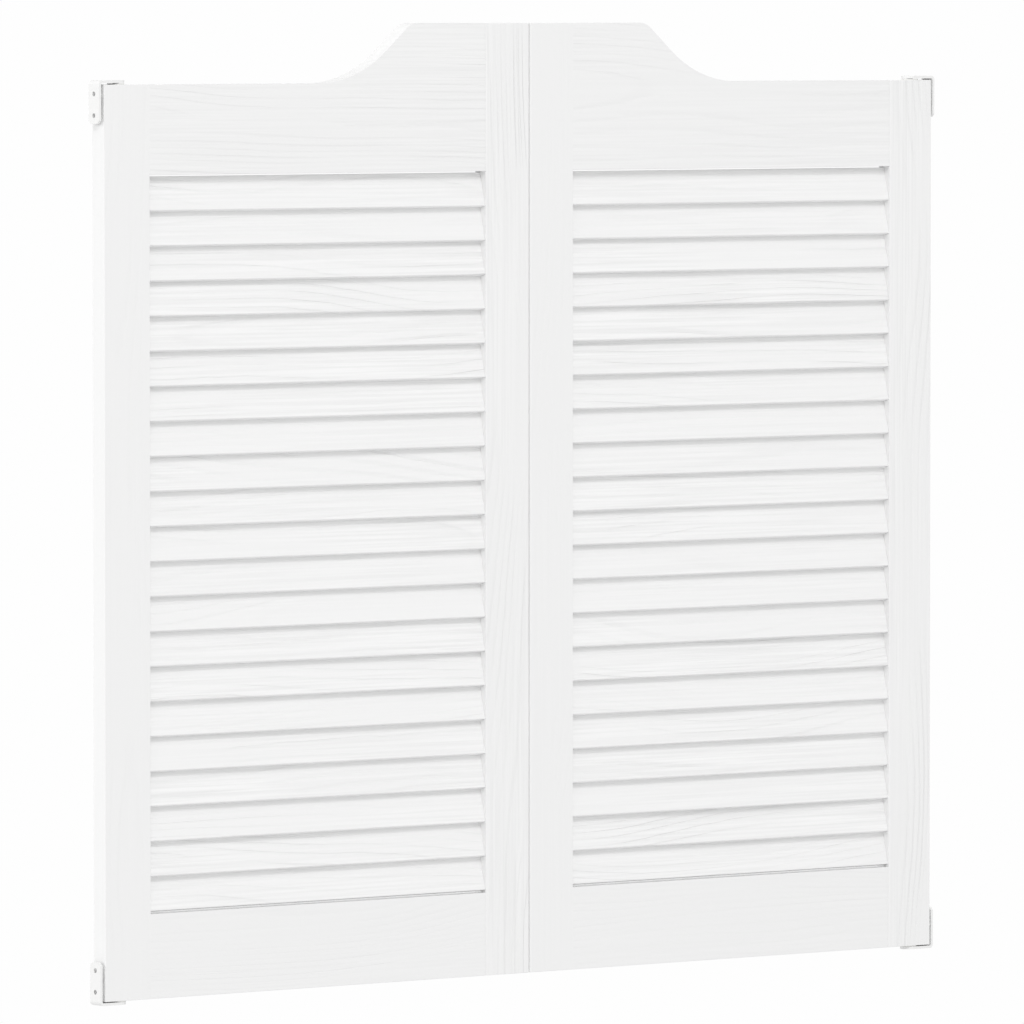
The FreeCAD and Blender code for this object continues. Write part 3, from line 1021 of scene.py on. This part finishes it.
    def build(self) -> None:
        """Makes every board of the leaf."""
        self.stile(hinged=True)
        self.stile(hinged=False)
        self.top_rail()
        self.bottom_rail()
        self.louvre.build(self.body)


# ---- hardware


@dataclass
class ReturnSpring:
    """Torsion spring of square wire that brings one leaf back to its place."""

    side: Side
    wire: float = 1.4 * MM
    radius: float = 4.4 * MM
    inner_end: float = 1.5 * MM
    outer_end: float = 5.9 * MM
    coils: int = 6
    steps_per_coil: int = 32

    def wind(self, piece: Piece, material: Material, place: Triple, rise: float) -> None:
        """Winds the wire and adds its two straight ends.

        Args:
            piece: The object that becomes the spring.
            material: The wire's finish.
            place: A point on the axis, at the height of the lower turn.
            rise: How far the wire climbs from there.
        """
        recipe = Recipe("wound_spring", {
            "Coils": float(self.coils), "Steps": self.steps_per_coil, "Radius": self.radius, "Rise": rise,
            "Wire": self.wire, "Inner End": self.inner_end, "Outer End": self.outer_end, "Place": place,
            "Hand": 1.0 if self.side is Side.LEFT else -1.0, "Finish": material,
        })
        given = recipe.given
        path = recipe.add("GeometryNodeCurveSpiral", {
            "Resolution": given["Steps"], "Rotations": given["Coils"], "Start Radius": given["Radius"],
            "End Radius": given["Radius"], "Height": given["Rise"], "Reverse": True,
        })
        square = {"Width": given["Wire"], "Height": given["Wire"]}
        section = recipe.add("GeometryNodeCurvePrimitiveQuadrilateral", square)
        coil = recipe.sweep(path.outputs[0], section.outputs[0])
        inner = self.straight_end(recipe, given["Inner End"], 0.0)
        outer = self.straight_end(recipe, given["Outer End"], given["Rise"])
        joined = recipe.add("GeometryNodeMeshBoolean", operation="UNION", solver="EXACT")
        for part in (coil, inner, outer):
            recipe.put(joined.inputs["Mesh 2"], part)
        hand = {"Geometry": joined.outputs[0], "Scale": recipe.vector(given["Hand"], 1.0, 1.0)}
        turned = recipe.add("GeometryNodeTransform", hand).outputs[0]
        placed = recipe.add("GeometryNodeTransform", {"Geometry": turned, "Translation": given["Place"]})
        recipe.run(piece, placed.outputs[0])

    def straight_end(self, recipe: Recipe, reach: Socket, height: Any) -> Socket:
        """A bar from the coil's middle line to a radius.

        Args:
            recipe: The tree to add to.
            reach: The radius at which the bar ends.
            height: The height at which it lies.

        Returns:
            The bar's geometry socket.
        """
        given = recipe.given
        length = recipe.math("ABSOLUTE", recipe.math("SUBTRACT", reach, given["Radius"]))
        middle = recipe.math("MULTIPLY", recipe.math("ADD", reach, given["Radius"]), 0.5)
        size = recipe.vector(length, given["Wire"], given["Wire"])
        bar = recipe.add("GeometryNodeMeshCube", {"Size": size})
        place = {"Geometry": bar.outputs[0], "Translation": recipe.vector(middle, 0.0, height)}
        return recipe.add("GeometryNodeTransform", place).outputs[0]

    def build(self, material: Material) -> None:
        """Makes the spring, which twists between the jamb hardware and its leaf.

        Args:
            material: Its finish.
        """
        node = f"{self.side.value}_return_spring"
        body = f"{self.side.value}_leaf"
        low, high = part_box(node)
        x, y, _ = pivot_of(body)
        piece = new_object(f"{node}_wound", bpy.data.meshes.new(node))
        self.wind(piece, material, (x, y, low[2] + self.wire / 2.0), high[2] - low[2] - self.wire)
        work = bmesh.new()
        work.from_mesh(piece.data)
        bmesh.ops.recalc_face_normals(work, faces=work.faces)
        work.to_mesh(piece.data)
        work.free()
        finish_piece(piece, material, None, [node])
        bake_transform(piece)


@dataclass(frozen=True)
class PivotHardware:
    """Brackets, pins, spindles, housings and springs, and their finishes."""

    bracket: PlainFinish = PlainFinish("white_powder_coat", (0.85, 0.85, 0.845), 0.45, relief=0.02 * MM)
    steel: PlainFinish = PlainFinish(
        "zinc_plate", (0.66, 0.67, 0.69), 0.28, metallic=1.0, mottle=0.10, stretch=(0.04, 0.04, 1.0),
    )
    nylon: PlainFinish = PlainFinish("white_nylon", (0.80, 0.80, 0.78), 0.40, texture_scale=1400.0)
    wire: PlainFinish = PlainFinish("oiled_spring_steel", (0.40, 0.41, 0.43), 0.32, metallic=1.0, mottle=0.15)

    def dress(self, finish: PlainFinish, names: Sequence[str]) -> None:
        """Gives nodes of the frame a finish.

        Args:
            finish: The finish.
            names: The nodes.
        """
        material = finish.make()
        for name in names:
            node = frame["nodes"][name]
            if not node.material_slots:
                node.data.materials.append(material)
            for slot in node.material_slots:
                slot.material = material
            log.info("%s: %s", name, finish.name)

    def build(self) -> None:
        """Dresses the hardware and winds the springs."""
        self.dress(self.bracket, ["upper_brackets", "lower_brackets"])
        self.dress(self.steel, ["top_pivot_pins", "bottom_spindles"])
        self.dress(self.nylon, [f"{side.value}_pivot_housings" for side in Side])
        oiled = self.wire.make()
        for side in Side:
            ReturnSpring(side).build(oiled)


# ---- studio


@dataclass(frozen=True)
class SoftLamp:
    """A square lamp that looks at the middle of the doors.

    Azimuth 0 is in front and grows to the right, in degrees.
    """

    name: str
    azimuth: float
    elevation: float
    distance: float
    size: float
    power: float

    def place(self, target: Vector) -> None:
        """Adds the lamp.

        Args:
            target: The point that it looks at.
        """
        azimuth, elevation = math.radians(self.azimuth), math.radians(self.elevation)
        away = Vector((
            math.sin(azimuth) * math.cos(elevation),
            -math.cos(azimuth) * math.cos(elevation),
            math.sin(elevation),
        ))
        data = bpy.data.lights.new(self.name, "AREA")
        data.shape = "SQUARE"
        data.size = self.size
        data.energy = self.power
        lamp = new_object(self.name, data)
        lamp.location = target + away * self.distance
        lamp.rotation_euler = away.to_track_quat("Z", "Y").to_euler()


@dataclass(frozen=True)
class Studio:
    """Floor, white surround, lamps and camera, with its angles in degrees."""

    white: float = 0.991
    ambient: float = 0.776
    floor_drop: float = 0.75
    floor_half: float = 30.0
    floor_clear: float = 1.1
    floor_fade: float = 2.3
    floor_colour: Triple = (0.86, 0.86, 0.86)
    floor_roughness: float = 0.9
    mottle_scale: float = 60.0
    mottle_least: float = 0.99
    eye: Triple = (-6.0007, -8.1498, 0.9006)
    yaw: float = 38.537
    pitch: float = 2.649
    frame_pixels: float = 1024.0
    focal_pixels: float = 11017.4
    sensor: float = 36.0
    sight: float = 200.0
    lamps: tuple[SoftLamp, ...] = (
        SoftLamp("low_key", -15.0, 35.0, 20.0, 1.4, 258.0),
        SoftLamp("middle_key", -38.0, 38.0, 20.0, 1.4, 772.0),
        SoftLamp("high_key", -30.0, 50.0, 20.0, 1.8, 156.0),
        SoftLamp("side", -105.0, 15.0, 20.0, 8.0, 685.0),
    )

    def camera(self) -> None:
        """Adds the camera."""
        data = bpy.data.cameras.new("camera")
        data.sensor_width = self.sensor
        data.lens = self.focal_pixels / self.frame_pixels * self.sensor
        data.clip_end = self.sight
        camera = new_object("camera", data)
        camera.location = self.eye
        camera.rotation_euler = (math.radians(90.0 - self.pitch), 0.0, math.radians(-self.yaw))
        bpy.context.scene.camera = camera

    def seen_directly(self, graph: Graph) -> Socket:
        """Tells the rays that show the surround from those that carry its light.

        Args:
            graph: The graph to add to.

        Returns:
            The socket, 1 for camera, glossy and transmission rays and 0 for the others.
        """
        path = graph.add("ShaderNodeLightPath").outputs
        bright = graph.math("MAXIMUM", path["Is Camera Ray"], path["Is Glossy Ray"])
        return graph.math("MAXIMUM", bright, path["Is Transmission Ray"])

    def surround(self) -> None:
        """Makes the white surround and its even light."""
        world = bpy.data.worlds.new("surround")
        world.use_nodes = True
        bpy.context.scene.world = world
        graph = Graph(world.node_tree)
        background = world.node_tree.nodes["Background"]
        graph.put(background.inputs["Color"], WHITE)
        step = self.white - self.ambient
        strength = graph.math("MULTIPLY_ADD", self.seen_directly(graph), step, self.ambient)
        graph.put(background.inputs["Strength"], strength)

    def floor(self, centre: Vector) -> None:
        """Makes the pale floor, which turns into the white surround away from the doors.

        Args:
            centre: Middle of the doors.
        """

        def build(work: Work) -> None:
            """Makes one square.

            Args:
                work: The mesh to fill.
            """
            height = CAD_BOX[0][2] - self.floor_drop
            work.faces.new([
                work.verts.new((centre.x + x * self.floor_half, centre.y + y * self.floor_half, height))
                for x, y in ((-1, -1), (1, -1), (1, 1), (-1, 1))
            ])

        piece = new_object("floor", mesh_from("floor", build))
        material, graph, shader = new_material("pale_floor")
        shader.inputs["Roughness"].default_value = self.floor_roughness
        shader.inputs["Specular IOR Level"].default_value = 0.0
        place = graph.add("ShaderNodeTexCoord").outputs["Object"]
        mottle = graph.spread(graph.noise(place, self.mottle_scale), 0.0, 1.0, self.mottle_least)
        graph.put(shader.inputs["Base Color"], graph.tint(self.floor_colour, mottle))
        flat = graph.spot(place, (1.0, 1.0, 0.0), (-centre.x, -centre.y, 0.0))
        away = graph.add("ShaderNodeVectorMath", {0: flat}, operation="LENGTH").outputs["Value"]
        faded = graph.spread(away, self.floor_clear, self.floor_fade)
        glow = graph.add("ShaderNodeEmission", {"Color": WHITE, "Strength": self.white})
        share = graph.math("MULTIPLY", faded, self.seen_directly(graph))
        blend = graph.add("ShaderNodeMixShader", {0: share, 1: shader.outputs[0], 2: glow.outputs[0]})
        graph.put(graph.tree.nodes["Material Output"].inputs["Surface"], blend.outputs[0])
        piece.data.materials.append(material)

    def build(self) -> None:
        """Sets up the whole studio."""
        bpy.context.scene.view_settings.view_transform = "Standard"
        centre = (CAD_BOX[0] + CAD_BOX[1]) / 2.0
        self.surround()
        self.floor(centre)
        for lamp in self.lamps:
            lamp.place(centre)
        self.camera()


def main() -> None:
    """Builds the doors and the studio, in order."""
    upright = PaintedWood("white_paint_upright_grain", Grain.UPRIGHT).make()
    level = PaintedWood("white_paint_level_grain", Grain.LEVEL).make()
    # Painted light: the slats get a slightly lighter copy of the boards' white paint, with more painted shade
    # in its furrows.
    slat = PaintedWood(
        "white_paint_slat", Grain.LEVEL, (0.858, 0.858, 0.857), ring_spacing=6.5 * MM,
        fibre_shade=0.075, fibre_share=0.28, relief=0.42 * MM,
    ).make()
    for side in Side:
        Leaf(side, upright, level, slat).build()
    PivotHardware().build()
    Studio().build()


if __name__ == "__main__":
    main()
